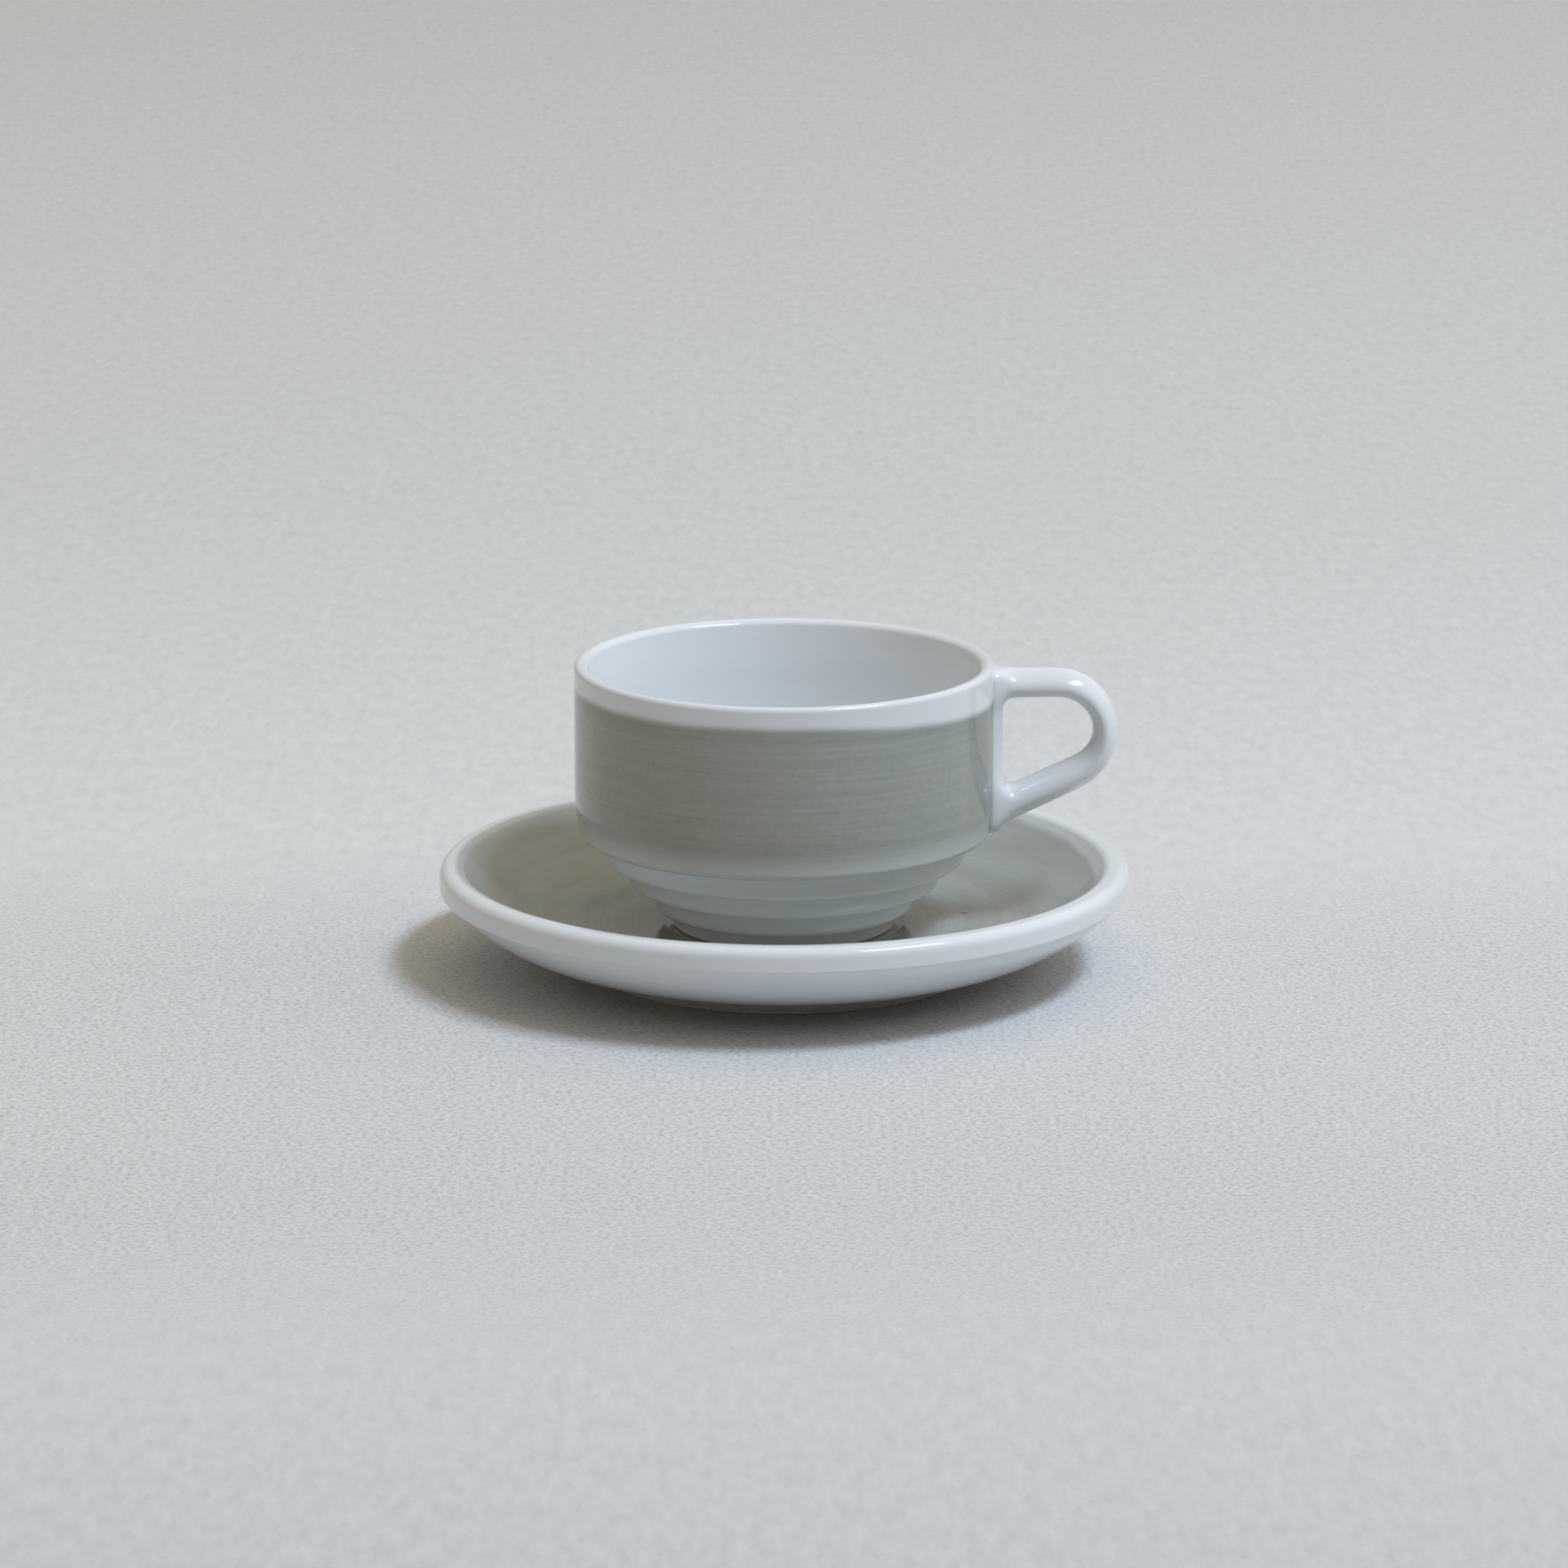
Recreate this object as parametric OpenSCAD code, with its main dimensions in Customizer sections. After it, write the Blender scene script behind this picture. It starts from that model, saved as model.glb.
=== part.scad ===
// Cortado cup with a stepped foot and a luted handle, resting in the well of its saucer
// Sizes are in millimetres; +Z is up and the saucer stands on Z = 0

/* [Cup] */
// Radius of the cup's straight wall
cup_r = 40; // [37:0.5:44]
// Height of the cup from its foot to its lip
cup_h = 51.2; // [50:0.2:60]
// Thickness of the cup's wall
cup_wall = 3.2; // [2.4:0.1:4]
// Height of the floor inside the cup above the foot
cup_floor_z = 6; // [4.4:0.1:8]
// Radius of the rounding on each edge of the lip
lip_round = 1.5; // [0.5:0.1:1.5]
// Radius of the rounding under the straight wall
wall_round = 2.4; // [1:0.1:3.6]
// Radius of the curve inside the cup, below the straight wall
shoulder_round = 12; // [4:0.5:16]
// Radius of the curve inside the cup, around its floor
floor_round = 10; // [3:0.5:14]

/* [Stepped foot] */
// Radius of the foot that stands on the saucer
foot_r = 21.2; // [18:0.2:24]
// Height of the foot below the lowest step
foot_h = 3.1; // [2.6:0.1:4.4]
// Number of steps between the foot and the straight wall
step_count = 3; // [2:1:4]
// Height of each step
step_rise = 4.9; // [4:0.1:5.2]
// How far the lowest step stands out from the foot
foot_out = 3.5; // [2.6:0.1:4.6]
// Radius of the rounding under each step
step_round = 1.4; // [0.5:0.1:2]
// Radius of the notch above each step
notch_round = 0.8; // [0.3:0.1:1.2]
// Width of the ring that the cup stands on
foot_ring_w = 2.4; // [1.6:0.1:4]
// Depth of the recess inside the cup's foot
foot_recess = 1.6; // [0.8:0.1:2.2]
// Radius of the rounding on the edges of both foot rings
ring_round = 0.5; // [0.2:0.1:0.7]

/* [Handle] */
// Distance from the cup's axis to the handle's outermost point
handle_reach = 63.6; // [60:0.2:68]
// Height of the top bar's middle above the cup's foot
bar_z = 47.3; // [45.5:0.1:47.8]
// Radius of the bend, measured on the middle of the bar
bend_r = 9.1; // [8:0.1:9.6]
// Slope of the lower bar in degrees
low_slope = 25.5; // [21:0.5:27]
// Thickness of the top bar
top_t = 5.8; // [4.6:0.1:6.2]
// Thickness of the bar at its outermost point
bend_t = 4.8; // [3.6:0.1:6]
// Thickness of the lower bar
low_t = 6.3; // [5:0.1:6.8]
// Width of the bar across the handle
bar_w = 8; // [6:0.2:10]
// Radius of the fillet where the top bar meets the wall
top_fillet = 4; // [1:0.5:5]
// Radius of the fillet where the lower bar meets the wall
low_fillet = 2.5; // [1:0.5:3]

/* [Strip behind the handle] */
// How far the strip stands out from the cup's wall
strip_t = 1.7; // [1:0.1:2.4]
// Width of the strip at the top bar
strip_top_w = 10; // [8:0.2:12]
// Width of the strip at its lower end
strip_low_w = 8; // [7:0.2:10]
// How far the strip's lower end narrows towards the wall
tail_taper = 1; // [0.4:0.1:1.4]
// Height of the narrowing at the strip's lower end
tail_h = 2; // [1:0.1:3]
// Radius of the strip's corners
strip_round = 3; // [1:0.2:3.4]

/* [Saucer] */
// Radius of the saucer's rim
saucer_r = 66; // [63:0.5:74]
// Height of the saucer's rim above the table
saucer_h = 20.4; // [18:0.2:24]
// Width of the rim's crown
rim_w = 4.3; // [3.8:0.1:6]
// Radius of the rim's outer edge
rim_round = 2.1; // [1:0.1:2.4]
// Radius of the rim's inner edge
crown_round = 1.8; // [0.8:0.1:2.2]
// Height of the upright collar below the rim's crown
collar_h = 4.5; // [3:0.1:6]
// How far the collar stands out from the wall below it
collar_step = 0.6; // [0.3:0.1:1]
// Height of the saucer's floor above the table
dish_z = 8.7; // [7.6:0.1:10]
// Radius at which the saucer's floor starts to rise
dish_flat_r = 38.5; // [34:0.5:42]
// Thickness of the saucer's floor inside its foot ring
saucer_floor = 4.4; // [3.4:0.1:5]

/* [Saucer's well and foot ring] */
// Depth of the well that the cup stands in
well_depth = 0.5; // [0.3:0.1:0.9]
// Clearance between the cup's foot and the edge of the well
well_gap = 1.2; // [0.5:0.1:2.5]
// Width of the slope at the edge of the well
well_slope = 0.6; // [0.3:0.1:1]
// Radius of the rounding at the edge of the well
well_round = 0.5; // [0.2:0.1:0.8]
// Outer radius of the saucer's foot ring
saucer_ring_r = 37.2; // [33:0.2:40]
// Width of the saucer's foot ring
saucer_ring_w = 2.8; // [2:0.1:4]
// Height of the saucer's foot ring
saucer_ring_h = 3.3; // [2.6:0.1:4]
// Radius of the notches beside the saucer's foot ring
ring_notch = 0.9; // [0.3:0.1:1.2]

/* [Hidden] */
$fn = 96;
ARC_STEP = 11;
ARC_MIN = 3;
BOWL_STEPS = 12;
BAR_SIDES = 20;
BEND_STEPS = 14;
FILLET_STEPS = 5;
ROOT_SINK = 1.5;
SIDE_SWELL = 0.35;
LIP_SHARE = 0.48;
TAIL_LIFT = 0.3;
QUARTER = 90;
STRAIGHT = 180;
FULL = 360;
PORCELAIN = [0.86, 0.88, 0.89];
BANDED = [0.74, 0.75, 0.71];
SAGE = [0.60, 0.61, 0.55];

low_step_r = foot_r + foot_out;
step_run = (cup_r - low_step_r) / step_count;
wall_base = foot_h + step_count * step_rise;
wall_under = min(wall_round, step_run - notch_round);
step_under = min(step_round, min(step_run, foot_out) - notch_round);
cup_in_r = cup_r - cup_wall;
lip_r = min(lip_round, LIP_SHARE * cup_wall);
cone_slope = step_rise / step_run;
shoulder_z = wall_base + (step_run - cup_wall) * cone_slope + cup_wall / cos(atan(cone_slope));
floor_r = cup_in_r - (shoulder_z - cup_floor_z) / cone_slope;

bend_x = handle_reach - bend_t / 2 - bend_r;
bend_z = bar_z - bend_r;
bend_end = low_slope - QUARTER;
low_x = bend_x + bend_r * cos(bend_end);
low_z = bend_z + bend_r * sin(bend_end);
root_x = cup_r - ROOT_SINK;
tail_z = wall_base + TAIL_LIFT;
strip_r = cup_r + strip_t;

seat_z = dish_z - well_depth;
well_r = foot_r + well_gap + well_slope;
base_z = seat_z - saucer_floor;
collar_z = saucer_h - collar_h;
crown_r = saucer_r - rim_w;

// A corner's place without its radius
function flat(p) = [p[0], p[1]];

// A vector's direction, with length 1
function unit(v) = v / norm(v);

// Points of the arc that rounds corner b between its neighbours a and c; each is [x, y, radius]
function corner_arc(a, b, c) =
    let (
        to_a = unit(flat(a) - flat(b)),
        to_c = unit(flat(c) - flat(b)),
        inside = acos(to_a * to_c),
        reach = b[2] / tan(inside / 2),
        centre = flat(b) + unit(to_a + to_c) * b[2] / sin(inside / 2),
        start = flat(b) + to_a * reach - centre,
        end = flat(b) + to_c * reach - centre,
        turn = (STRAIGHT - inside) * sign(cross(start, end)),
        first = atan2(start[1], start[0]),
        steps = max(ARC_MIN, ceil(abs(turn) / ARC_STEP))
    )
    [for (k = [0:steps]) centre + b[2] * [cos(first + turn * k / steps), sin(first + turn * k / steps)]];

// A closed outline whose corners are rounded, each by its own radius
function rounded(corners) =
    let (count = len(corners))
    [for (i = [0:count - 1]) each corners[i][2] > 0
        ? corner_arc(corners[(i + count - 1) % count], corners[i], corners[(i + 1) % count])
        : [flat(corners[i])]];

// Points of an arc that leaves its start level and rises to its end, without the start itself
function bowl(r0, z0, r1, z1) =
    let (
        radius = (pow(r1 - r0, 2) + pow(z1 - z0, 2)) / (2 * (z1 - z0)),
        turn = 2 * atan2(z1 - z0, r1 - r0)
    )
    [for (k = [1:BOWL_STEPS]) [r0 + radius * sin(turn * k / BOWL_STEPS),
                               z0 + radius * (1 - cos(turn * k / BOWL_STEPS)), 0]];

// A list in reverse order
function backwards(list) = [for (i = [len(list) - 1:-1:0]) list[i]];

// A list without its last entry
function without_last(list) = [for (i = [0:len(list) - 2]) list[i]];

// Corners of the steps, from the foot up to the straight wall's lower edge
function steps_outline() =
    [for (i = [0:step_count]) each [
        [i > 0 ? low_step_r + (i - 1) * step_run : foot_r, foot_h + i * step_rise, notch_round],
        [low_step_r + i * step_run, foot_h + i * step_rise, i < step_count ? step_under : wall_under]
    ]];

// Corners of the cup's section, from the recess in its foot round to the floor inside it
function cup_outline() = concat(
    [[0, foot_recess, 0],
     [foot_r - foot_ring_w, foot_recess, notch_round],
     [foot_r - foot_ring_w, 0, ring_round],
     [foot_r, 0, ring_round]],
    steps_outline(),
    [[cup_r, cup_h, lip_r],
     [cup_in_r, cup_h, lip_r],
     [cup_in_r, shoulder_z, shoulder_round],
     [floor_r, cup_floor_z, floor_round],
     [0, cup_floor_z, 0]]);

// The straight wall without its hollow, which is what the handle is cut to fit
function wall_outline() =
    [[0, wall_base, 0],
     [cup_r, wall_base, wall_under],
     [cup_r, cup_h, lip_r],
     [0, cup_h, 0]];

// Corners of the saucer's section, from under its middle round to the well
function saucer_outline() = concat(
    [[0, base_z, 0],
     [saucer_ring_r - saucer_ring_w, base_z, ring_notch],
     [saucer_ring_r - saucer_ring_w, 0, ring_round],
     [saucer_ring_r, 0, ring_round],
     [saucer_ring_r, saucer_ring_h, ring_notch]],
    bowl(saucer_ring_r, saucer_ring_h, saucer_r - collar_step, collar_z - collar_step),
    [[saucer_r, collar_z, 0],
     [saucer_r, saucer_h, rim_round],
     [crown_r, saucer_h, crown_round]],
    backwards(without_last(bowl(dish_flat_r, dish_z, crown_r, saucer_h))),
    [[dish_flat_r, dish_z, 0],
     [well_r, dish_z, well_round],
     [well_r - well_slope, seat_z, 0],
     [0, seat_z, 0]]);

// Distance from the wall at fillet station k
function fillet_gap(fillet, k) = fillet * (1 - cos(QUARTER * k / FILLET_STEPS));

// How much a bar swells at fillet station k
function fillet_swell(fillet, k) = fillet * (1 - sin(QUARTER * k / FILLET_STEPS));

// Height of the lower bar's middle at distance x from the axis
function low_at(x) = low_z + (x - low_x) * tan(low_slope);

// How closely a bar's end follows the wall's curve at fillet station k
function fillet_hug(k) = 1 - k / FILLET_STEPS;

// Stations along the handle from the upper root to the lower one:
// [x, z, direction of the outer side, thickness, swell, hug]
function bar_stations() = concat(
    [[root_x, bar_z, QUARTER, top_t, top_fillet, 1]],
    [for (k = [0:FILLET_STEPS]) [cup_r + fillet_gap(top_fillet, k), bar_z, QUARTER, top_t,
                                 fillet_swell(top_fillet, k), fillet_hug(k)]],
    [for (k = [0:BEND_STEPS])
        let (
            angle = QUARTER + (bend_end - QUARTER) * k / BEND_STEPS,
            end_t = angle > 0 ? top_t : low_t,
            share = pow(sin(angle) / sin(angle > 0 ? QUARTER : bend_end), 2)
        )
        [bend_x + bend_r * cos(angle), bend_z + bend_r * sin(angle), angle,
         bend_t + (end_t - bend_t) * share, 0, 0]],
    [for (k = [FILLET_STEPS:-1:0])
        let (x = cup_r + fillet_gap(low_fillet, k))
        [x, low_at(x), bend_end, low_t, fillet_swell(low_fillet, k), fillet_hug(k)]],
    [[root_x, low_at(root_x), bend_end, low_t, low_fillet, 1]]);

// One ring of the oval bar; the swell is added towards the finger hole, and less of it at the sides
function bar_ring(s) =
    [for (j = [0:BAR_SIDES - 1])
        let (
            turn = FULL * j / BAR_SIDES,
            half = s[3] / 2 + (cos(turn) < 0 ? s[4] : 0),
            out = half * cos(turn),
            side = (bar_w / 2 + SIDE_SWELL * s[4]) * sin(turn),
            hug = s[5] * (cup_r - sqrt(cup_r * cup_r - side * side))
        )
        [s[0] + out * cos(s[2]) - hug, side, s[1] + out * sin(s[2])]];

// The oval bar, swept from the upper root round the bend to the lower root
module bar() {
    stations = bar_stations();
    last = len(stations) - 1;
    points = [for (s = stations) each bar_ring(s)];
    sides = [for (i = [0:last - 1], j = [0:BAR_SIDES - 1])
        [i * BAR_SIDES + j,
         i * BAR_SIDES + (j + 1) % BAR_SIDES,
         (i + 1) * BAR_SIDES + (j + 1) % BAR_SIDES,
         (i + 1) * BAR_SIDES + j]];
    start_cap = [for (j = [BAR_SIDES - 1:-1:0]) j];
    end_cap = [for (j = [0:BAR_SIDES - 1]) last * BAR_SIDES + j];
    polyhedron(points, concat(sides, [start_cap, end_cap]));
}

// The strip that joins the two roots and lies on the wall
module strip() {
    intersection() {
        rotate_extrude()
            polygon(rounded([
                [cup_in_r, tail_z, 0],
                [strip_r - tail_taper, tail_z, 0],
                [strip_r, tail_z + tail_h, strip_round],
                [strip_r, bar_z, 0],
                [cup_in_r, bar_z, 0]]));
        rotate([QUARTER, 0, QUARTER])
            linear_extrude(handle_reach)
            polygon(rounded([
                [-strip_low_w / 2, wall_base, strip_round],
                [strip_low_w / 2, wall_base, strip_round],
                [strip_top_w / 2, cup_h, 0],
                [-strip_top_w / 2, cup_h, 0]]));
    }
}

module saucer() {
    color(SAGE)
        rotate_extrude()
        polygon(rounded(saucer_outline()));
}

module cup_body() {
    color(BANDED)
        translate([0, 0, seat_z])
        rotate_extrude()
        polygon(rounded(cup_outline()));
}

module handle() {
    color(PORCELAIN)
        translate([0, 0, seat_z])
        difference() {
            union() {
                bar();
                strip();
            }
            rotate_extrude()
                polygon(rounded(wall_outline()));
        }
}

saucer();
cup_body();
handle();
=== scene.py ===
# Cortado cup with a stepped foot and a loop handle, standing loose in the well of its saucer
import math

import bmesh
import bpy
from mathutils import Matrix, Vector


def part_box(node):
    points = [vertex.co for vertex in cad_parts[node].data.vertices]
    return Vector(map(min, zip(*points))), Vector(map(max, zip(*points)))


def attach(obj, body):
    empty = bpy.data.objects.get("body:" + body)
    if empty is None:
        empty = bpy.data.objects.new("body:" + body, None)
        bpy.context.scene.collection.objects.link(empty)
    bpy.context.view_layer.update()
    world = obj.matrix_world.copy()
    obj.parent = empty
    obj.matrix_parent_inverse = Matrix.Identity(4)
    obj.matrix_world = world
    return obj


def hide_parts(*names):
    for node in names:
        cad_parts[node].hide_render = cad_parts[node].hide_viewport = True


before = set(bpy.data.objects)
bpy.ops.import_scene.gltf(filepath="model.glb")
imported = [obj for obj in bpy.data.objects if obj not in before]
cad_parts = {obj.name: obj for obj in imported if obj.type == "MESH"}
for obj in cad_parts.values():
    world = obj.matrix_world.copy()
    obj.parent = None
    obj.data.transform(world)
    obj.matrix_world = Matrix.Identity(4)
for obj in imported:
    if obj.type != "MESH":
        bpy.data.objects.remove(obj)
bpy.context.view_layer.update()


# Saucer
# A turned porcelain plate with a rolled rim, a shallow well for the cup and an unglazed foot ring.
# Its inside is brushed with green-grey slip while it turns on the wheel, then all but the ring is
# dipped in clear glaze. The cup stands in it loose, so the saucer is a body of its own.
MM = 0.001
TOUCH = 0.00001
TURN_STEPS = 192
ARC_DEGREES = 9
ARC_LEAST_STEPS = 4
saucer_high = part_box("saucer")[1]
# Sizes of the section in mm, from the rim down to the foot ring
rim_r = saucer_high.x / MM
rim_z = saucer_high.z / MM
rim_width = 4.3
rim_outer_round = 2.1
rim_inner_round = 1.8
collar_z = rim_z - 4.5
collar_step = 0.6
collar_notch = 0.5
collar_round = 0.7
dish_r = 38.5
dish_z = 8.7
seat_z = 8.2
well_r = 23.0
well_slope = 0.6
well_round = 0.5
well_notch = 0.3
saucer_ring_r = 37.2
saucer_ring_inner_r = 34.4
saucer_ring_z = 3.3
saucer_ring_notch = 0.9
saucer_base_z = 3.8
ring_round = 0.5


def pick(piece, wanted, kind="verts"):
    # Selects only those corners, edges or faces that pass the test, in edit mode
    bpy.ops.mesh.select_mode(type={"verts": "VERT", "edges": "EDGE", "faces": "FACE"}[kind])
    bpy.ops.mesh.select_all(action="DESELECT")
    shape = bmesh.from_edit_mesh(piece.data)
    for item in getattr(shape, kind):
        if wanted(item):
            item.select_set(True)
    shape.select_flush_mode()
    bmesh.update_edit_mesh(piece.data)


def turned(name, section):
    # A turned shape: the section's corners are (radius, height, rounding) in mm, from the axis to the axis
    bpy.ops.object.select_all(action="DESELECT")
    bpy.ops.mesh.primitive_plane_add(size=MM)
    piece = bpy.context.object
    piece.name = name
    bpy.ops.object.mode_set(mode="EDIT")
    bpy.ops.mesh.select_all(action="SELECT")
    bpy.ops.mesh.merge(type="CENTER")
    places = [Vector((radius, 0, height)) * MM for radius, height, rounding in section]
    bpy.ops.transform.translate(value=places[0])
    for here, there in zip(places, places[1:]):
        bpy.ops.mesh.extrude_vertices_move(TRANSFORM_OT_translate={"value": there - here})
    for index in range(1, len(section) - 1):
        rounding = section[index][2] * MM
        if rounding:
            corner = places[index]
            turn = (corner - places[index - 1]).angle(places[index + 1] - corner)
            pick(piece, lambda vertex: (vertex.co - corner).length < TOUCH)
            bpy.ops.mesh.bevel(
                offset=rounding * math.tan(turn / 2),
                offset_type="OFFSET",
                segments=max(ARC_LEAST_STEPS, math.ceil(math.degrees(turn) / ARC_DEGREES)),
                profile=0.5,
                affect="VERTICES",
            )
    bpy.ops.mesh.select_all(action="SELECT")
    bpy.ops.mesh.spin(steps=TURN_STEPS, angle=math.tau, center=(0, 0, 0), axis=(0, 0, 1))
    bpy.ops.mesh.select_all(action="SELECT")
    bpy.ops.mesh.remove_doubles(threshold=TOUCH)
    bpy.ops.mesh.normals_make_consistent(inside=False)
    bpy.ops.object.mode_set(mode="OBJECT")
    bpy.ops.object.shade_smooth()
    flats = piece.modifiers.new("flats", "WEIGHTED_NORMAL")
    flats.keep_sharp = True
    bpy.ops.object.modifier_apply(modifier=flats.name)
    return piece


def bowl(r0, z0, r1, z1, steps=28):
    # Points of a curve that leaves its start level and rises to its end, without the start
    radius = ((r1 - r0) ** 2 + (z1 - z0) ** 2) / (2 * (z1 - z0))
    turn = 2 * math.atan2(z1 - z0, r1 - r0)
    return [
        (r0 + radius * math.sin(turn * k / steps), z0 + radius * (1 - math.cos(turn * k / steps)), 0)
        for k in range(1, steps + 1)
    ]


under_curve = bowl(saucer_ring_r, saucer_ring_z, rim_r - collar_step, collar_z - collar_step)
dish_curve = bowl(dish_r, dish_z, rim_r - rim_width, rim_z)
saucer = turned(
    "saucer_glazed",
    [
        (0, saucer_base_z, 0),
        (saucer_ring_inner_r, saucer_base_z, saucer_ring_notch),
        (saucer_ring_inner_r, 0, ring_round),
        (saucer_ring_r, 0, ring_round),
        (saucer_ring_r, saucer_ring_z, saucer_ring_notch),
        *under_curve[:-1],
        (rim_r - collar_step, collar_z - collar_step, collar_notch),
        (rim_r, collar_z, collar_round),
        (rim_r, rim_z, rim_outer_round),
        (rim_r - rim_width, rim_z, rim_inner_round),
        *reversed(dish_curve[:-1]),
        (dish_r, dish_z, 0),
        (well_r, dish_z, well_round),
        (well_r - well_slope, seat_z, well_notch),
        (0, seat_z, 0),
    ],
)


def linear(hex_colour):
    # An sRGB hex colour as the linear colour that a socket takes
    parts = [int(hex_colour[i:i + 2], 16) / 255 for i in (0, 2, 4)]
    return [c / 12.92 if c <= 0.04045 else ((c + 0.055) / 1.055) ** 2.4 for c in parts] + [1]


def add_node(tree, kind, feeds, **settings):
    # Adds a node, sets it up and feeds its sockets from nodes, other sockets or plain values
    made = tree.nodes.new("ShaderNode" + kind)
    for name, value in settings.items():
        setattr(made, name, value)
    for socket, source in feeds.items():
        if isinstance(source, bpy.types.Node):
            source = source.outputs[0]
        if isinstance(source, bpy.types.NodeSocket):
            tree.links.new(source, made.inputs[socket])
        else:
            made.inputs[socket].default_value = source
    return made


# Glazed porcelain, dipped: a clear, even gloss with a faint ripple where the glaze ran as it melted,
# over a white body that is a little greyer in patches
GLAZE_IOR = 1.5
GLAZE_ROUGHNESS = 0.09
RIPPLE_MM = 9
RIPPLE_DEPTH_MM = 0.02
PATCH_MM = 25
PORCELAIN = "E6EAEE"
PORCELAIN_THIN = "DFE5EA"


def new_glaze(name):
    # Starts a glazed porcelain, and gives its nodes, its shader, the spot on the piece and the body's white
    material = bpy.data.materials.new(name)
    material.use_nodes = True
    tree = material.node_tree
    shader = tree.nodes["Principled BSDF"]
    place = add_node(tree, "TexCoord", {})
    spot = place.outputs["Object"]
    cloud = add_node(tree, "TexNoise", {"Vector": spot, "Scale": 1 / (PATCH_MM * MM), "Detail": 2.0})
    white = add_node(
        tree, "Mix", {0: cloud, 6: linear(PORCELAIN), 7: linear(PORCELAIN_THIN)}, data_type="RGBA"
    )
    ripple = add_node(tree, "TexNoise", {"Vector": spot, "Scale": 1 / (RIPPLE_MM * MM), "Detail": 1.0})
    bump = add_node(tree, "Bump", {"Height": ripple, "Strength": 1.0, "Distance": RIPPLE_DEPTH_MM * MM})
    tree.links.new(bump.outputs[0], shader.inputs["Normal"])
    shader.inputs["IOR"].default_value = GLAZE_IOR
    return material, tree, shader, place, white


# Bare biscuit where the glaze is wiped off: matt and warm
BISCUIT = "C9C2B6"
BISCUIT_ROUGHNESS = 0.7


def wipe_ring(tree, shader, height, facing, colour, bare_to, glazed_from):
    # Colours the piece, and leaves the ring that it stands on bare: what faces down below those heights
    low = add_node(tree, "MapRange", {0: height, 1: bare_to, 2: glazed_from, 3: 1.0, 4: 0.0})
    underneath = add_node(tree, "MapRange", {0: facing, 1: -0.9, 2: -0.7, 3: 1.0, 4: 0.0})
    bare = add_node(tree, "Math", {0: low, 1: underneath}, operation="MULTIPLY")
    surface = add_node(tree, "Mix", {0: bare, 6: colour, 7: linear(BISCUIT)}, data_type="RGBA")
    matt = add_node(tree, "MapRange", {0: bare, 3: GLAZE_ROUGHNESS, 4: BISCUIT_ROUGHNESS})
    tree.links.new(surface.outputs[2], shader.inputs["Base Color"])
    tree.links.new(matt.outputs[0], shader.inputs["Roughness"])


# The saucer's slip is brushed on in rings, so it shows fine strokes, broad sweeps and a soft edge
SAGE_GREY = "9C9E98"
SAGE_COOL = "A8AFAC"
SAGE_DARK = "8F938B"
IRON = "4E4C45"
slip_end = (62.0 * MM, 63.4 * MM)
speck_at = Vector((34.6, 4.4, dish_z)) * MM
saucer_glaze, tree, shader, place, white = new_glaze("porcelain_brushed_in_rings_and_glazed")
spot = place.outputs["Object"]
across = add_node(tree, "VectorMath", {0: spot, 1: (1, 1, 0)}, operation="MULTIPLY")
radius = add_node(tree, "VectorMath", {0: across}, operation="LENGTH").outputs["Value"]
heading = add_node(tree, "VectorMath", {0: across}, operation="NORMALIZE")
axes = add_node(tree, "SeparateXYZ", {0: spot})
facing = add_node(tree, "SeparateXYZ", {0: place.outputs["Normal"]}).outputs["Z"]
# Strokes about 0.7 mm across, and about 55 mm along in the middle of the dish
along = add_node(tree, "VectorMath", {0: heading, "Scale": 0.9}, operation="SCALE")
ring_number = add_node(tree, "Math", {0: radius, 1: 1 / (0.7 * MM)}, operation="MULTIPLY")
rings = add_node(tree, "CombineXYZ", {"Z": ring_number})
stroke_place = add_node(tree, "VectorMath", {0: along, 1: rings}, operation="ADD")
strokes = add_node(
    tree, "TexNoise", {"Vector": stroke_place, "Scale": 1.0, "Detail": 3.0, "Roughness": 0.6}
)
# Broader sweeps where the brush was reloaded: about 5 mm across
sweep_place = add_node(tree, "VectorMath", {0: stroke_place, 1: (2.2, 2.2, 0.14)}, operation="MULTIPLY")
sweeps = add_node(
    tree, "TexNoise", {"Vector": sweep_place, "Scale": 1.0, "Detail": 2.0, "Roughness": 0.5}
)
# The slip stops 3.3 mm inside the rim, a little further in on the right, with a soft wavy edge
wave = add_node(tree, "TexNoise", {"Vector": spot, "Scale": 1 / (14 * MM), "Detail": 1.0})
wave_mm = add_node(tree, "MapRange", {0: wave, 3: -0.5 * MM, 4: 0.5 * MM})
further_in = add_node(
    tree, "MapRange", {0: axes.outputs["X"], 1: 10 * MM, 2: 60 * MM, 3: 0.0, 4: 3.2 * MM}
)
edge_shift = add_node(tree, "Math", {0: wave_mm, 1: further_in}, operation="ADD")
wavy_radius = add_node(tree, "Math", {0: radius, 1: edge_shift}, operation="ADD")
inside = add_node(
    tree,
    "MapRange",
    {0: wavy_radius, 1: slip_end[0], 2: slip_end[1], 3: 1.0, 4: 0.0},
    interpolation_type="SMOOTHSTEP",
)
upward = add_node(tree, "MapRange", {0: facing, 1: -0.05, 2: 0.05}, interpolation_type="SMOOTHSTEP")
brushed = add_node(tree, "Math", {0: inside, 1: upward}, operation="MULTIPLY")
sweep_share = add_node(tree, "MapRange", {0: sweeps, 1: 0.32, 2: 0.68})
sage = add_node(tree, "Mix", {0: sweep_share, 6: linear(SAGE_GREY), 7: linear(SAGE_COOL)}, data_type="RGBA")
stroke_share = add_node(tree, "MapRange", {0: strokes, 1: 0.38, 2: 0.75, 3: 0.0, 4: 0.4})
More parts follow.
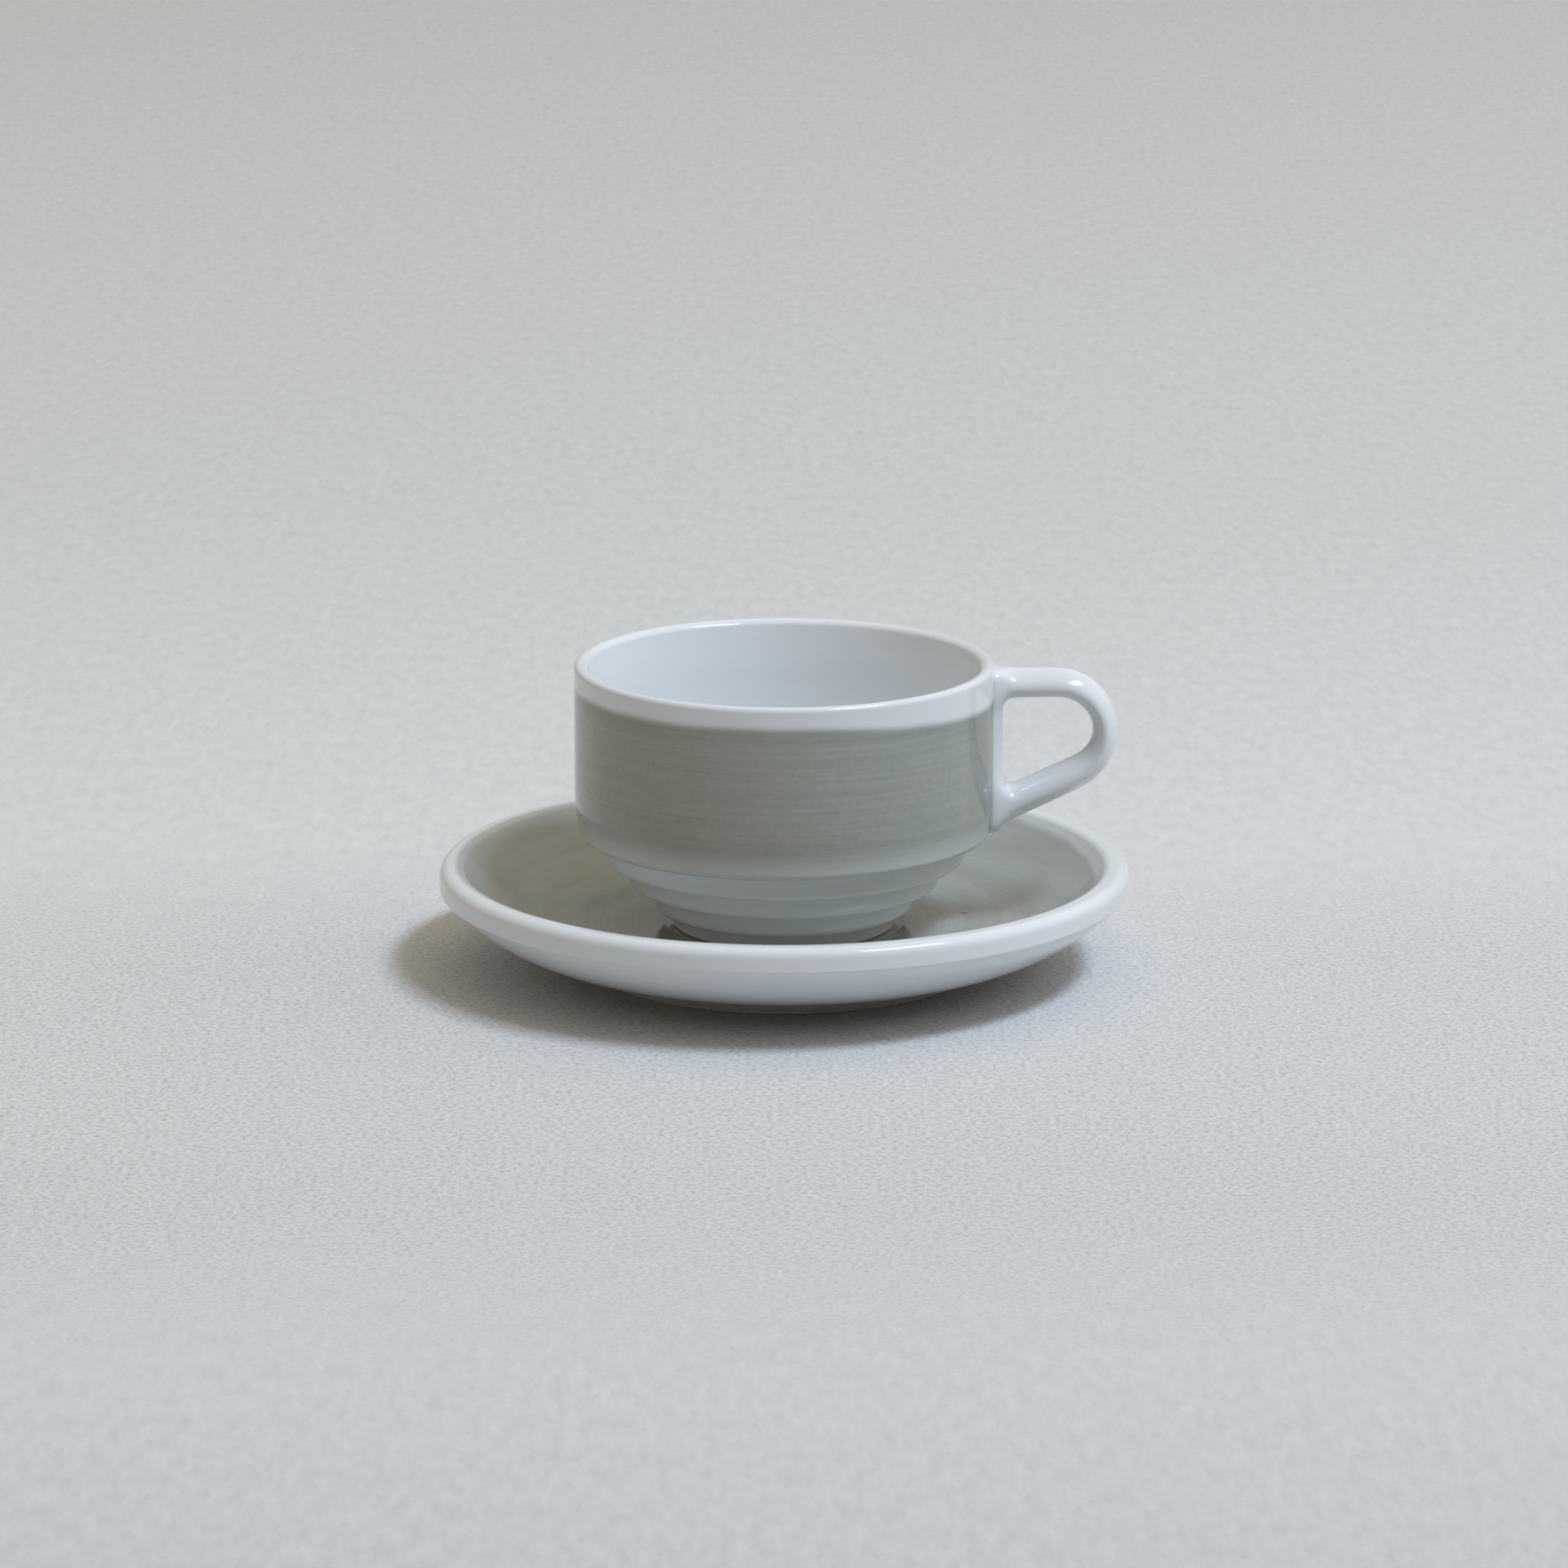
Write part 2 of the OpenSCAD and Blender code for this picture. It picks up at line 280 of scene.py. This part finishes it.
streaky = add_node(
    tree, "Mix", {0: stroke_share, 6: sage.outputs[2], 7: linear(SAGE_DARK)}, data_type="RGBA"
)
thinned = add_node(tree, "MapRange", {0: wavy_radius, 1: 50 * MM, 2: slip_end[0], 3: 1.0, 4: 0.72})
covered = add_node(tree, "Math", {0: brushed, 1: thinned}, operation="MULTIPLY")
painted = add_node(tree, "Mix", {0: covered, 6: white.outputs[2], 7: streaky.outputs[2]}, data_type="RGBA")
# One iron speck from the kiln on the dish, about 2 mm long
speck_offset = add_node(tree, "VectorMath", {0: spot, 1: -speck_at}, operation="ADD")
speck_round = add_node(tree, "VectorMath", {0: speck_offset, 1: (0.9, 0.7, 1.0)}, operation="MULTIPLY")
speck_distance = add_node(tree, "VectorMath", {0: speck_round}, operation="LENGTH").outputs["Value"]
speck = add_node(tree, "MapRange", {0: speck_distance, 1: 0.4 * MM, 2: 1.0 * MM, 3: 0.6, 4: 0.0})
specked = add_node(tree, "Mix", {0: speck, 6: painted.outputs[2], 7: linear(IRON)}, data_type="RGBA")
wipe_ring(tree, shader, axes.outputs["Z"], facing, specked.outputs[2], 0.15 * MM, 0.35 * MM)
saucer.data.materials.append(saucer_glaze)
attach(saucer, "saucer")
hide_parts("saucer")


# Cup body
# A slip-cast porcelain cup with a straight wall over three steps and a foot ring, open at the top.
# A green-grey band is brushed round the wall on the wheel, and all but the foot ring is glazed.
cup_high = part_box("cup_body")[1]
# Sizes of the section in mm, from the lip down
cup_r = cup_high.y / MM
lip_z = cup_high.z / MM
lip_width = 2.4
lip_outer_round = 1.0
lip_inner_round = 1.7
flare_depth = 11.0
FLARE_STEPS = 10
cup_inner_r = cup_r - 3.9
cup_wall = 3.2
draw_in = 0.8
draw_in_height = 7
draw_in_round = 20
wall_round = 1.6
foot_r = 21.2
foot_z = seat_z + 3.1
foot_ring_width = 2.4
foot_hollow = 1.6
low_step_r = foot_r + 3.5
step_count = 3
step_run = (cup_r - low_step_r) / step_count
step_rise = 4.9
step_round = 1.4
notch_round = 0.8
wall_base_z = foot_z + step_count * step_rise
floor_z = seat_z + 6
slope = step_rise / step_run
shoulder_z = wall_base_z + (step_run - cup_wall) * slope + cup_wall / math.cos(math.atan(slope))
shoulder_round = 12
floor_r = cup_inner_r - (shoulder_z - floor_z) / slope
floor_round = 10
steps = [(foot_r, foot_z, notch_round), (low_step_r, foot_z, step_round)]
for step in range(1, step_count + 1):
    steps.append((low_step_r + (step - 1) * step_run, foot_z + step * step_rise, notch_round))
    steps.append((low_step_r + step * step_run, foot_z + step * step_rise, step_round))
# The wall draws in a little above its lower edge, and inside the lip it flares
steps[-1] = (cup_r - draw_in, wall_base_z, wall_round)
steps.append((cup_r, wall_base_z + draw_in_height, draw_in_round))
flare_run = cup_r - lip_width - cup_inner_r
flare = []
for k in range(1, FLARE_STEPS + 1):
    flare_r = cup_r - lip_width - flare_run * (1 - (1 - k / FLARE_STEPS) ** 2)
    flare.append((flare_r, lip_z - flare_depth * k / FLARE_STEPS, 0))
cup = turned(
    "cup_glazed",
    [
        (0, seat_z + foot_hollow, 0),
        (foot_r - foot_ring_width, seat_z + foot_hollow, notch_round),
        (foot_r - foot_ring_width, seat_z, ring_round),
        (foot_r, seat_z, ring_round),
        *steps,
        (cup_r, lip_z, lip_outer_round),
        (cup_r - lip_width, lip_z, lip_inner_round),
        *flare,
        (cup_inner_r, shoulder_z, shoulder_round),
        (floor_r, floor_z, floor_round),
        (0, floor_z, 0),
    ],
)

# The same glazed porcelain, with the slip brushed on in level strokes: streaks, soft patches, and a
# darker line where the glaze pooled along the band's upper edge and beside the handle
SAGE_BROWN = "A5A195"
SAGE_GREEN = "A0A9A5"
SAGE_POOLED = "69705F"
cup_glaze, tree, shader, place, white = new_glaze("porcelain_brushed_band_and_glazed")
spot = place.outputs["Object"]
axes = add_node(tree, "SeparateXYZ", {0: spot})
across = add_node(tree, "VectorMath", {0: spot, 1: (1, 1, 0)}, operation="MULTIPLY")
radius = add_node(tree, "VectorMath", {0: across}, operation="LENGTH").outputs["Value"]
facing = add_node(tree, "SeparateXYZ", {0: place.outputs["Normal"]}).outputs["Z"]
# Streaks about 0.6 mm thick and 50 mm long, patches about 25 mm long and 9 mm high
streak_scale = (1 / (50 * MM), 1 / (50 * MM), 1 / (0.6 * MM))
streak_place = add_node(tree, "VectorMath", {0: spot, 1: streak_scale}, operation="MULTIPLY")
streaks = add_node(
    tree, "TexNoise", {"Vector": streak_place, "Scale": 1.0, "Detail": 3.0, "Roughness": 0.6}
)
patch_scale = (1 / (25 * MM), 1 / (25 * MM), 1 / (9 * MM))
patch_place = add_node(tree, "VectorMath", {0: spot, 1: patch_scale}, operation="MULTIPLY")
patches = add_node(
    tree, "TexNoise", {"Vector": patch_place, "Scale": 1.0, "Detail": 2.0, "Roughness": 0.5}
)
# Fine mottling about 1.2 mm across, where the slip dried
mottle = add_node(tree, "TexNoise", {"Vector": spot, "Scale": 1 / (1.2 * MM), "Detail": 1.0})
# The band starts 4.1 mm under the lip, dips beside the handle and thins out above the wall's lower edge
band_top = (lip_z - 4.1) * MM
band_top_blur = 0.9 * MM
band_end = (wall_base_z + 3.9) * MM
band_end_blur = 3.2 * MM
wave = add_node(tree, "TexNoise", {"Vector": across, "Scale": 1 / (16 * MM), "Detail": 1.0})
wave_mm = add_node(tree, "MapRange", {0: wave, 3: -0.45 * MM, 4: 0.45 * MM})
dip = add_node(tree, "MapRange", {0: axes.outputs["X"], 1: 10 * MM, 2: 40 * MM, 3: 0.0, 4: 2.5 * MM})
waved = add_node(tree, "Math", {0: axes.outputs["Z"], 1: wave_mm}, operation="ADD")
dipped = add_node(tree, "Math", {0: waved, 1: dip}, operation="ADD")
under_lip = add_node(
    tree,
    "MapRange",
    {0: dipped, 1: band_top - band_top_blur, 2: band_top + band_top_blur, 3: 1.0, 4: 0.0},
    interpolation_type="SMOOTHSTEP",
)
over_edge = add_node(
    tree,
    "MapRange",
    {0: waved, 1: band_end - band_end_blur, 2: band_end + band_end_blur, 3: 0.4, 4: 1.0},
    interpolation_type="SMOOTHSTEP",
)
outside = add_node(tree, "MapRange", {0: radius, 1: (cup_r - 2.2) * MM, 2: (cup_r - 1.4) * MM})
level = add_node(tree, "Math", {0: under_lip, 1: over_edge}, operation="MULTIPLY")
band = add_node(tree, "Math", {0: level, 1: outside}, operation="MULTIPLY")
# Partly painted light: the band's tint varies in patches, and it is also painted browner on the left, where
# the warm fill light falls, and greener towards the handle on the right, where the cool window light falls
painted_light_lean = add_node(tree, "MapRange", {0: axes.outputs["X"], 1: -40 * MM, 2: 40 * MM, 3: -0.35, 4: 0.35})
green_share = add_node(tree, "Math", {0: patches, 1: painted_light_lean}, operation="ADD")
sage = add_node(
    tree, "Mix", {0: green_share, 6: linear(SAGE_BROWN), 7: linear(SAGE_GREEN)}, data_type="RGBA"
)
mottle_lift = add_node(tree, "MapRange", {0: mottle, 1: 0.3, 2: 0.7, 3: -0.1, 4: 0.1})
uneven = add_node(tree, "Math", {0: streaks, 1: mottle_lift}, operation="ADD")
streak_share = add_node(tree, "MapRange", {0: uneven, 1: 0.36, 2: 0.75, 3: 0.0, 4: 0.55})
streaky = add_node(
    tree, "Mix", {0: streak_share, 6: sage.outputs[2], 7: linear(SAGE_DARK)}, data_type="RGBA"
)
# Slip and glaze lie thicker and greener under the band's upper edge and beside the handle's strip
edge_offset = add_node(tree, "Math", {0: dipped, 1: band_top - 1.6 * MM}, operation="SUBTRACT")
edge_distance = add_node(tree, "Math", {0: edge_offset}, operation="ABSOLUTE")
edge_line = add_node(tree, "MapRange", {0: edge_distance, 1: 0.0, 2: 1.8 * MM, 3: 0.14, 4: 0.0})
side = add_node(tree, "Math", {0: axes.outputs["Y"]}, operation="ABSOLUTE")
strip_edge = add_node(
    tree, "MapRange", {0: axes.outputs["Z"], 1: 27 * MM, 2: 52 * MM, 3: 4.2 * MM, 4: 4.8 * MM}
)
strip_offset = add_node(tree, "Math", {0: side, 1: strip_edge}, operation="SUBTRACT")
strip_line = add_node(tree, "MapRange", {0: strip_offset, 1: 0.1 * MM, 2: 0.8 * MM, 3: 0.8, 4: 0.0})
near_handle = add_node(tree, "MapRange", {0: axes.outputs["X"], 1: 37 * MM, 2: 38 * MM})
handle_line = add_node(tree, "Math", {0: strip_line, 1: near_handle}, operation="MULTIPLY")
thick_slip = add_node(tree, "MapRange", {0: axes.outputs["X"], 1: 34 * MM, 2: 39 * MM, 3: 0.0, 4: 0.6})
lines = add_node(tree, "Math", {0: edge_line, 1: handle_line}, operation="MAXIMUM")
pooled = add_node(tree, "Math", {0: lines, 1: thick_slip}, operation="MAXIMUM")
pooled_band = add_node(
    tree, "Mix", {0: pooled, 6: streaky.outputs[2], 7: linear(SAGE_POOLED)}, data_type="RGBA"
)
painted = add_node(tree, "Mix", {0: band, 6: white.outputs[2], 7: pooled_band.outputs[2]}, data_type="RGBA")
bare_top = (seat_z + 0.3) * MM
wipe_ring(tree, shader, axes.outputs["Z"], facing, painted.outputs[2], bare_top, bare_top + 0.3 * MM)
cup.data.materials.append(cup_glaze)
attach(cup, "cup")
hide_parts("cup_body")


# Handle
# A one-finger loop of porcelain, cast with a strip along its back and stuck to the wall with slip.
# The glaze runs over the joint, so the bar flows into the strip and the strip lies tight on the wall.
handle_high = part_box("handle")[1]
# Sizes in mm: the bar's path and thickness, and how far its straight stations lie from the strip
reach = handle_high.x / MM
bar_z = seat_z + 47.3
bar_w = 8.0
top_t = 5.8
bend_t = 4.8
low_t = 6.3
bend_r = 9.1
bend_end = math.radians(-64.5)
bend_x = reach - bend_t / 2 - bend_r
bend_z = bar_z - bend_r
low_x = bend_x + bend_r * math.cos(bend_end)
low_z = bend_z + bend_r * math.sin(bend_end)
low_rise = math.tan(math.radians(25.5))
top_straight = (1.3, 5.0)
low_straight = (6.0, 2.6)
strip_front = cup_r + 1.7
strip_back = cup_r - 1.6
BEND_STEPS = 9

# The smoothing draws the bar in, so it starts larger: these are the shares that are left of it
WIDE_SHARE = 0.915
THICK_SHARE = 0.827
BEND_PULL = 1.015

# Stations along the bar: middle x and z, the way its outer side faces, and its thickness
stations = [(strip_front + gap, bar_z, math.pi / 2, top_t) for gap in top_straight]
for k in range(BEND_STEPS + 1):
    outward = math.pi / 2 + (bend_end - math.pi / 2) * k / BEND_STEPS
    end_t = top_t if outward > 0 else low_t
    full_sine = 1.0 if outward > 0 else math.sin(bend_end)
    thickness = bend_t + (end_t - bend_t) * (math.sin(outward) / full_sine) ** 2
    x = bend_x + BEND_PULL * bend_r * math.cos(outward)
    z = bend_z + BEND_PULL * bend_r * math.sin(outward)
    stations.append((x, z, outward, thickness))
for gap in low_straight:
    x = strip_front + gap
    stations.append((x, low_z + (x - low_x) * low_rise, bend_end, low_t))

# The bar starts as an eight-sided ring, which the smoothing turns into a flattened oval
RING_SIDES = 8
CORNER_WIDE = 1.08
CORNER_THICK = 0.68
wide = bar_w / 2 / WIDE_SHARE * MM
thick = top_t / 2 / THICK_SHARE * MM
bpy.ops.object.select_all(action="DESELECT")
bpy.ops.mesh.primitive_circle_add(
    vertices=RING_SIDES, radius=1.0, fill_type="NOTHING", rotation=(0, math.pi / 2, 0)
)
handle = bpy.context.object
handle.name = "handle_glazed"
bpy.ops.object.transform_apply(location=True, rotation=True, scale=True)
bpy.ops.object.mode_set(mode="EDIT")
pick(handle, lambda vertex: 0.1 < abs(vertex.co.y) < 0.9)
bpy.ops.transform.resize(value=(1, CORNER_WIDE, CORNER_THICK), center_override=(0, 0, 0))
bpy.ops.mesh.select_all(action="SELECT")
bpy.ops.transform.resize(value=(1, wide, thick), center_override=(0, 0, 0))
bpy.ops.transform.translate(value=(stations[0][0] * MM, 0, stations[0][1] * MM))
bpy.ops.mesh.select_mode(type="EDGE")
bpy.ops.mesh.select_all(action="SELECT")
for (x0, z0, outward0, t0), (x1, z1, outward1, t1) in zip(stations, stations[1:]):
    middle = (x1 * MM, 0, z1 * MM)
    move = ((x1 - x0) * MM, 0, (z1 - z0) * MM)
    bpy.ops.mesh.extrude_region_move(TRANSFORM_OT_translate={"value": move})
    bpy.ops.transform.rotate(value=math.pi / 2 - outward0, orient_axis="Y", center_override=middle)
    bpy.ops.transform.resize(value=(1, 1, t1 / t0), center_override=middle)
    bpy.ops.transform.rotate(value=outward1 - math.pi / 2, orient_axis="Y", center_override=middle)
# Its fullest line hangs a little below the middle
corner_sag = 0.5
side_sag = 0.8
pick(handle, lambda vertex: 0.1 * wide < abs(vertex.co.y) < 0.9 * wide)
bpy.ops.transform.translate(value=(0, 0, -corner_sag * MM))
pick(handle, lambda vertex: abs(vertex.co.y) > 0.9 * wide)
bpy.ops.transform.translate(value=(0, 0, -side_sag * MM))
bpy.ops.object.mode_set(mode="OBJECT")

# The strip starts as a block that is sunk into the wall and cut into rows and columns
tail_z = wall_base_z - 0.1
taper_z = 27.2
head_z = bar_z + top_t / 2
low_root = (28.0, 31.4, 36.0)
top_root = (bar_z - 3.9, bar_z, head_z)
rows = (taper_z, *low_root, 38.0, bar_z - 6.0, *top_root[:2])
strip_half = 6.0
root_half = 4.4
bead_half = 2.6
bead_gap = 1.0
tail_sunk = 1.3
TAIL_SHARE = 0.3
TAPER_SHARE = 0.8
SLACK = 0.1
bpy.ops.object.select_all(action="DESELECT")
bpy.ops.mesh.primitive_cube_add(size=1.0)
strip = bpy.context.object
strip.scale = ((strip_front - strip_back) * MM, 2 * strip_half * MM, (head_z - tail_z) * MM)
strip.location = ((strip_front + strip_back) / 2 * MM, 0, (head_z + tail_z) / 2 * MM)
bpy.ops.object.transform_apply(location=True, rotation=True, scale=True)
bpy.ops.object.mode_set(mode="EDIT")
for row_z in rows:
    bpy.ops.mesh.select_all(action="SELECT")
    bpy.ops.mesh.bisect(plane_co=(0, 0, row_z * MM), plane_no=(0, 0, 1))
bpy.ops.mesh.select_all(action="SELECT")
bpy.ops.mesh.bisect(plane_co=(0, 0, 0), plane_no=(0, 1, 0))


def at_root(face):
    # True for a face of the strip's front that a root of the bar opens into
    middle = face.calc_center_median() / MM
    in_low = low_root[0] < middle.z < low_root[2]
    in_top = top_root[0] < middle.z < top_root[2]
    return middle.x > strip_front - SLACK and (in_low or in_top)


pick(strip, at_root, "faces")
bpy.ops.mesh.delete(type="FACE")
# The strip narrows to a low bead between the roots, and its lower end runs out in a point on the wall
wall_face = cup_r * MM
bead_low = (low_root[2] + bead_gap) * MM
bead_high = (top_root[0] - bead_gap) * MM
tail_top = (tail_z + SLACK) * MM
pick(strip, lambda vertex: vertex.co.x > wall_face)
bpy.ops.transform.resize(value=(1, root_half / strip_half, 1), center_override=(0, 0, 0))
pick(strip, lambda vertex: vertex.co.x > wall_face and bead_low < vertex.co.z < bead_high)
bpy.ops.transform.resize(value=(1, bead_half / root_half, 1), center_override=(0, 0, 0))
pick(strip, lambda vertex: vertex.co.x > wall_face and vertex.co.z < tail_top)
bpy.ops.transform.translate(value=(-tail_sunk * MM, 0, 0))
pick(strip, lambda vertex: vertex.co.z < tail_top)
bpy.ops.transform.resize(value=(1, TAIL_SHARE, 1), center_override=(0, 0, 0))
pick(strip, lambda vertex: tail_top < vertex.co.z < (low_root[0] - SLACK) * MM)
bpy.ops.transform.resize(value=(1, TAPER_SHARE, 1), center_override=(0, 0, 0))
bpy.ops.object.mode_set(mode="OBJECT")

# Bar and strip become one piece, bridged at both roots and smoothed all over
handle.select_set(True)
bpy.context.view_layer.objects.active = handle
bpy.ops.object.join()
bpy.ops.object.mode_set(mode="EDIT")
between_roots = (low_root[2] + top_root[0]) / 2 * MM
pick(handle, lambda edge: edge.is_boundary and edge.verts[0].co.z > between_roots, "edges")
bpy.ops.mesh.bridge_edge_loops()
pick(handle, lambda edge: edge.is_boundary and edge.verts[0].co.z < between_roots, "edges")
bpy.ops.mesh.bridge_edge_loops()
bpy.ops.mesh.select_all(action="SELECT")
bpy.ops.mesh.normals_make_consistent(inside=False)
bpy.ops.object.mode_set(mode="OBJECT")
smooth = handle.modifiers.new("smooth", "SUBSURF")
smooth.levels = smooth.render_levels = 3
bpy.ops.object.modifier_apply(modifier=smooth.name)
bpy.ops.object.shade_smooth()

# The same glazed porcelain, left white all over
handle_glaze, tree, shader, place, white = new_glaze("porcelain_cast_and_glazed")
tree.links.new(white.outputs[2], shader.inputs["Base Color"])
shader.inputs["Roughness"].default_value = GLAZE_ROUGHNESS
handle.data.materials.append(handle_glaze)
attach(handle, "cup")
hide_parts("handle")


# Floor, light and camera
# A pale table top under the saucer, of rolled plaster: matt, with fine pits and soft dents.
# A long cool window high on the right lights it, with a warm glow from overhead and from the left.
bpy.ops.object.select_all(action="DESELECT")
bpy.ops.mesh.primitive_plane_add(size=12)
floor = bpy.context.object
floor.name = "floor"
plaster = bpy.data.materials.new("plaster_rolled")
plaster.use_nodes = True
tree = plaster.node_tree
shader = tree.nodes["Principled BSDF"]
spot = add_node(tree, "TexCoord", {}).outputs["Object"]
# Pits about 1 mm apart show most just in front of the saucer, over soft mottling about 8 mm across
PLASTER_GREY = "D0D2D4"
PLASTER_PALE = "D9DADB"
# The greyer tone is painted shade, for the light falling off across the table top
PLASTER_FALLOFF_SHADE = "C3C5C7"
PLASTER_PIT = "A6A7A7"
clear_y = -0.075
clear_within = 0.07
faint_beyond = 0.18
grain = add_node(tree, "TexNoise", {"Vector": spot, "Scale": 1 / (1.0 * MM), "Detail": 2.0})
pits = add_node(tree, "MapRange", {0: grain, 1: 0.42, 2: 0.72, 3: 0.0, 4: 1.0})
depth = add_node(tree, "SeparateXYZ", {0: spot}).outputs["Y"]
from_clear = add_node(tree, "Math", {0: depth, 1: -clear_y}, operation="ADD")
far_off = add_node(tree, "Math", {0: from_clear}, operation="ABSOLUTE")
nearness = add_node(
    tree,
    "MapRange",
    {0: far_off, 1: clear_within, 2: faint_beyond, 3: 0.68, 4: 0.08},
    interpolation_type="SMOOTHSTEP",
)
pitted = add_node(tree, "Math", {0: pits, 1: nearness}, operation="MULTIPLY")
mottle = add_node(tree, "TexNoise", {"Vector": spot, "Scale": 1 / (8 * MM), "Detail": 2.0})
tint = add_node(tree, "Mix", {0: mottle, 6: linear(PLASTER_GREY), 7: linear(PLASTER_PALE)}, data_type="RGBA")
# Painted shade: the top is a little greyer towards its near edge and its back, where the light falls off
near_edge = add_node(tree, "MapRange", {0: depth, 1: -0.35, 2: -0.09, 3: 1.0, 4: 0.0})
back = add_node(tree, "MapRange", {0: depth, 1: 0.1, 2: 0.45, 3: 0.0, 4: 0.4})
painted_falloff_shade = add_node(tree, "Math", {0: near_edge, 1: back}, operation="MAXIMUM")
greyed = add_node(tree, "Mix", {0: painted_falloff_shade, 6: tint.outputs[2], 7: linear(PLASTER_FALLOFF_SHADE)}, data_type="RGBA")
specked = add_node(tree, "Mix", {0: pitted, 6: greyed.outputs[2], 7: linear(PLASTER_PIT)}, data_type="RGBA")
# Further off only broad soft dents show, about 2.4 mm wide and 8 mm from front to back
dent_scale = (1 / (2.4 * MM), 1 / (8 * MM), 1)
dent_place = add_node(tree, "VectorMath", {0: spot, 1: dent_scale}, operation="MULTIPLY")
dents = add_node(tree, "TexNoise", {"Vector": dent_place, "Scale": 1.0, "Detail": 3.0, "Roughness": 0.6})
dent_level = add_node(tree, "MapRange", {0: dents, 1: 0.3, 2: 0.7, 3: -1.0, 4: 1.0})
dent_share = add_node(tree, "MapRange", {0: far_off, 1: clear_within, 2: faint_beyond, 3: 0.0, 4: 0.055})
dent_shade = add_node(tree, "Math", {0: dent_level, 1: dent_share, 2: 1.0}, operation="MULTIPLY_ADD")
dented = add_node(tree, "VectorMath", {0: specked.outputs[2], "Scale": dent_shade}, operation="SCALE")
bump = add_node(tree, "Bump", {"Height": grain, "Strength": nearness, "Distance": 0.4 * MM})
tree.links.new(dented.outputs[0], shader.inputs["Base Color"])
tree.links.new(bump.outputs[0], shader.inputs["Normal"])
shader.inputs["Roughness"].default_value = 0.9
shader.inputs["Specular IOR Level"].default_value = 0.2
floor.data.materials.append(plaster)

# The room is dim in front and warmer on the left, pale behind as a lit backdrop is, brightest overhead
ROOM_DIM = "554C3D"
ROOM_LEFT = "76664F"
ROOM_BACK = "A8A49C"
LEFT_GLOW = "A09582"
OVERHEAD_GLOW = "E5DCC7"
left_glow_from = Vector((-0.62, -0.2, 0.76)).normalized()
overhead_from = Vector((0.44, 0.16, 0.88)).normalized()
world = bpy.data.worlds.new("warm_glow")
bpy.context.scene.world = world
world.use_nodes = True
tree = world.node_tree
background = tree.nodes["Background"]
outlook = add_node(tree, "TexCoord", {}).outputs["Generated"]
toward = add_node(tree, "SeparateXYZ", {0: outlook})
behind = add_node(
    tree, "MapRange", {0: toward.outputs["Y"], 1: -0.2, 2: 0.6}, interpolation_type="SMOOTHSTEP"
)
low_down = add_node(
    tree,
    "MapRange",
    {0: toward.outputs["Z"], 1: 0.35, 2: 0.8, 3: 1.0, 4: 0.0},
    interpolation_type="SMOOTHSTEP",
)
backdrop = add_node(tree, "Math", {0: behind, 1: low_down}, operation="MULTIPLY")
left = add_node(tree, "MapRange", {0: toward.outputs["X"], 1: -0.7, 2: 0.4, 3: 1.0, 4: 0.0})
front = add_node(tree, "Mix", {0: left, 6: linear(ROOM_DIM), 7: linear(ROOM_LEFT)}, data_type="RGBA")
room = add_node(tree, "Mix", {0: backdrop, 6: front.outputs[2], 7: linear(ROOM_BACK)}, data_type="RGBA")
to_left = add_node(tree, "VectorMath", {0: outlook, 1: left_glow_from}, operation="DOT_PRODUCT")
left_share = add_node(
    tree, "MapRange", {0: to_left.outputs["Value"], 1: 0.5, 2: 0.9}, interpolation_type="SMOOTHSTEP"
)
sky = add_node(tree, "Mix", {0: left_share, 6: room.outputs[2], 7: linear(LEFT_GLOW)}, data_type="RGBA")
to_top = add_node(tree, "VectorMath", {0: outlook, 1: overhead_from}, operation="DOT_PRODUCT")
top_share = add_node(
    tree, "MapRange", {0: to_top.outputs["Value"], 1: 0.45, 2: 0.8}, interpolation_type="SMOOTHSTEP"
)
glow = add_node(tree, "Mix", {0: top_share, 6: sky.outputs[2], 7: linear(OVERHEAD_GLOW)}, data_type="RGBA")
tree.links.new(glow.outputs[2], background.inputs["Color"])
background.inputs["Strength"].default_value = 1.0

LAMP_FROM = Vector((0.44, -0.24, 0.87))
LAMP_DISTANCE = 4.0
lamp_data = bpy.data.lights.new("window", "AREA")
lamp_data.shape = "RECTANGLE"
lamp_data.size = 1.6
lamp_data.size_y = 0.6
lamp_data.energy = 111
lamp_data.color = (0.68, 0.81, 1.0)
lamp = bpy.data.objects.new("window", lamp_data)
lamp.location = LAMP_FROM.normalized() * LAMP_DISTANCE
lamp.rotation_euler = LAMP_FROM.to_track_quat("Z", "Y").to_euler()
bpy.context.scene.collection.objects.link(lamp)

ELEVATION = math.radians(13.7)
CAMERA_DISTANCE = 1.265
LOOK_AT = Vector((0, 0, 0.0354))
camera_data = bpy.data.cameras.new("camera")
camera_data.sensor_width = 36
camera_data.lens = 152
camera_data.clip_end = 20
camera = bpy.data.objects.new("camera", camera_data)
camera.location = LOOK_AT + CAMERA_DISTANCE * Vector((0, -math.cos(ELEVATION), math.sin(ELEVATION)))
camera.rotation_euler = (math.pi / 2 - ELEVATION, 0, 0)
bpy.context.scene.collection.objects.link(camera)
bpy.context.scene.camera = camera
bpy.context.scene.view_settings.view_transform = "Standard"
